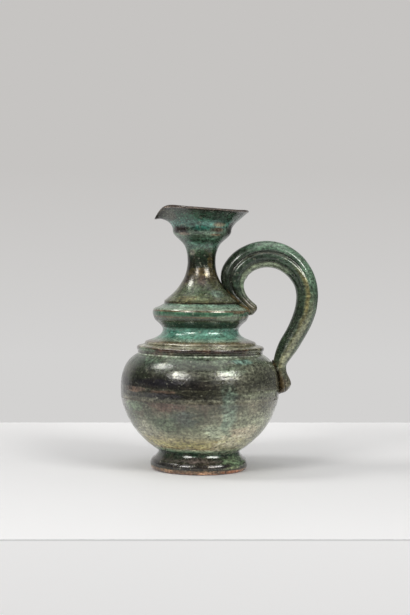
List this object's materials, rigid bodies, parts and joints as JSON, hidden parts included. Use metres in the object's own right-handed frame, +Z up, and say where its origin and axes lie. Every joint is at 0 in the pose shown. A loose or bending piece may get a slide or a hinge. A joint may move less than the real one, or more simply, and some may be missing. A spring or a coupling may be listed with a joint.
{
  "type": "pottery jug",
  "caption": "Glazed pottery jug with a round belly, moulded shoulder and collar, slim neck, pinched pouring beak and a fluted arched handle.",
  "frame": {"origin": "centre of the flat base of the foot, on the axis of the wheel-thrown body, at table height", "axes": "+Z up along the axis of the body, +X towards the handle, -X towards the pouring beak"},
  "size_m": [0.2167, 0.1748, 0.2893],
  "materials": {
    "foot_glaze": "dark green to black glossy glaze, with a line of bare brown clay at the table",
    "lower_bowl_glaze": "sage green glaze mottled with pinkish brown, semi-gloss",
    "upper_bowl_glaze": "mottled green glaze with a dark bronze metallic band and an orange-peel skin",
    "shoulder_ring_glaze": "green glaze that breaks to reddish brown on the edges",
    "collar_glaze": "teal to mint glaze that pools in the hollow moulding, glossy",
    "neck_glaze": "dark olive and bronze glaze, glossy",
    "mouth_glaze": "green to teal glaze with brown smudges and a dark bronze lip",
    "handle_glaze": "light and dark green glaze with gold-brown speckle on the ridges",
    "luting_clay": "golden brown clay seam, thinly glazed"
  },
  "bodies": {
    "root": {"foot": "foot_glaze", "lower_bowl": "lower_bowl_glaze", "upper_bowl": "upper_bowl_glaze", "shoulder_ring": "shoulder_ring_glaze", "collar": "collar_glaze", "neck": "neck_glaze", "mouth_cup": "mouth_glaze", "handle": "handle_glaze", "upper_luting_pad": "luting_clay", "lower_luting_pad": "luting_clay"}
  },
  "joints": []
}
